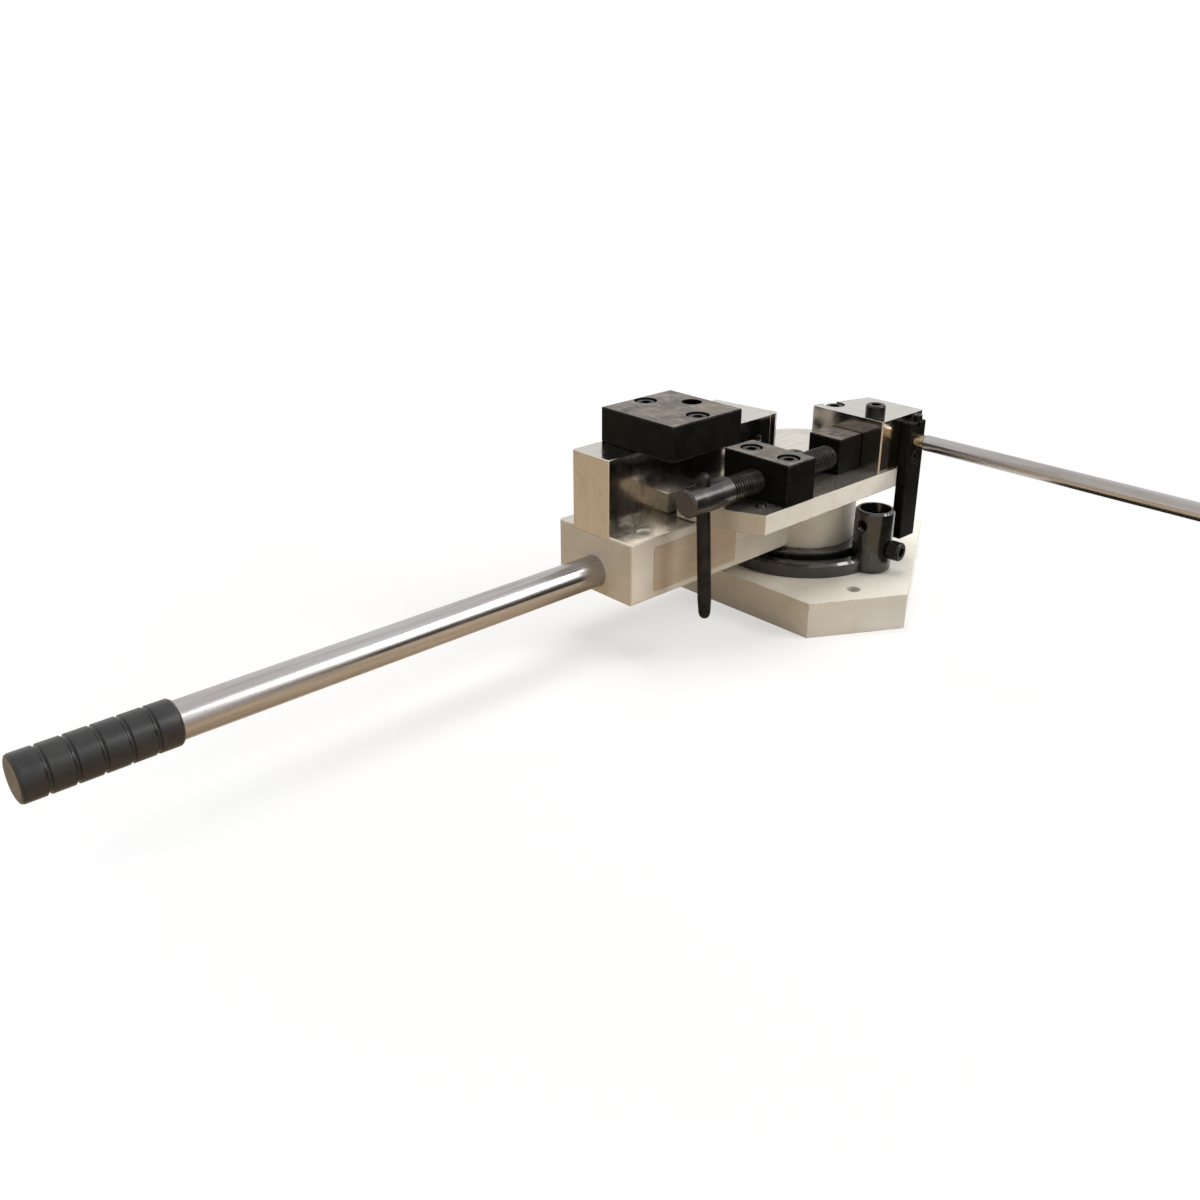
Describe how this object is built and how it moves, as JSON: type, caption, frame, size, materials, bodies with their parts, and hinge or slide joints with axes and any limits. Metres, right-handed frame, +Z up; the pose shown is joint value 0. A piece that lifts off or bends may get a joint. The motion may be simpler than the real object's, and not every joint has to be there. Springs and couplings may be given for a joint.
{
  "type": "universal bender",
  "caption": "Bench bender whose lever arm swings a ground block round a pivot to bend bar held in a screw clamp, with angle and length stops.",
  "frame": {"origin": "on the pivot axis, at the underside of the base plate", "axes": "+Z up the pivot axis, -X along the lever towards its grip at rest, -Y towards the length stop"},
  "size_m": [0.798, 0.5276, 0.1842],
  "materials": {
    "cream_paint": "satin",
    "ground_steel": "ground",
    "black_oxide": "satin",
    "black_gloss": "gloss",
    "screw_black": "satin",
    "bare_steel": "satin",
    "bronze": "satin",
    "polished_steel": "polished",
    "grip_rubber": "satin"
  },
  "bodies": {
    "frame": {"base_plate": "cream_paint", "spindle": "bare_steel", "spindle_screws": "screw_black", "stop_ring": "black_gloss", "work_table": "cream_paint", "table_screws": "screw_black", "table_stud": "bare_steel", "nut_block": "black_oxide", "nut_block_screws": "screw_black", "fixed_block": "ground_steel", "fixed_block_screws": "screw_black", "stop_bar": "black_oxide", "stop_bar_screws": "screw_black", "stop_rod": "polished_steel", "thrust_washer": "bronze"},
    "arm": {"arm_lever": "cream_paint", "hub_bush": "bronze", "handle_bar": "polished_steel", "handle_grip": "grip_rubber", "handle_set_screw": "screw_black", "bend_block": "ground_steel", "bend_block_screws": "screw_black", "nose_plate": "ground_steel", "nose_screws": "screw_black", "block_set_screw": "screw_black", "bracket": "black_oxide", "bracket_screws": "screw_black"},
    "jaw": {"moving_jaw": "black_oxide", "jaw_pin": "bare_steel"},
    "screw": {"clamp_screw": "bare_steel", "screw_head": "black_oxide"},
    "tommy": {"tommy_bar": "bare_steel"},
    "angle_stop": {"stop_clamp": "black_gloss", "stop_clamp_screw": "screw_black"},
    "length_stop": {"stop_collar": "black_oxide", "stop_collar_screw": "screw_black"}
  },
  "joints": [
    {"name": "arm_swing", "type": "hinge", "parent": "frame", "child": "arm", "pos_m": [0, 0, 0.07], "axis": [0, 0, 1], "range_deg": [-90, 1]},
    {"name": "jaw_slide", "type": "slide", "parent": "frame", "child": "jaw", "axis": [1, 0, 0], "range_m": [-0.05, 0]},
    {"name": "screw_turn", "type": "hinge", "parent": "jaw", "child": "screw", "pos_m": [-0.1, -0.0426, 0.1282], "axis": [1, 0, 0], "range_deg": [-168, 8]},
    {"name": "tommy_slide", "type": "slide", "parent": "screw", "child": "tommy", "axis": [0, 0.061, 0.9981], "range_m": [-0.008, 0.09]},
    {"name": "angle_stop_turn", "type": "hinge", "parent": "frame", "child": "angle_stop", "pos_m": [0, 0, 0.04], "axis": [0, 0, 1], "range_deg": [-60, 5]},
    {"name": "length_stop_slide", "type": "slide", "parent": "frame", "child": "length_stop", "axis": [0, 1, 0], "range_m": [-0.018, 0.25]}
  ]
}
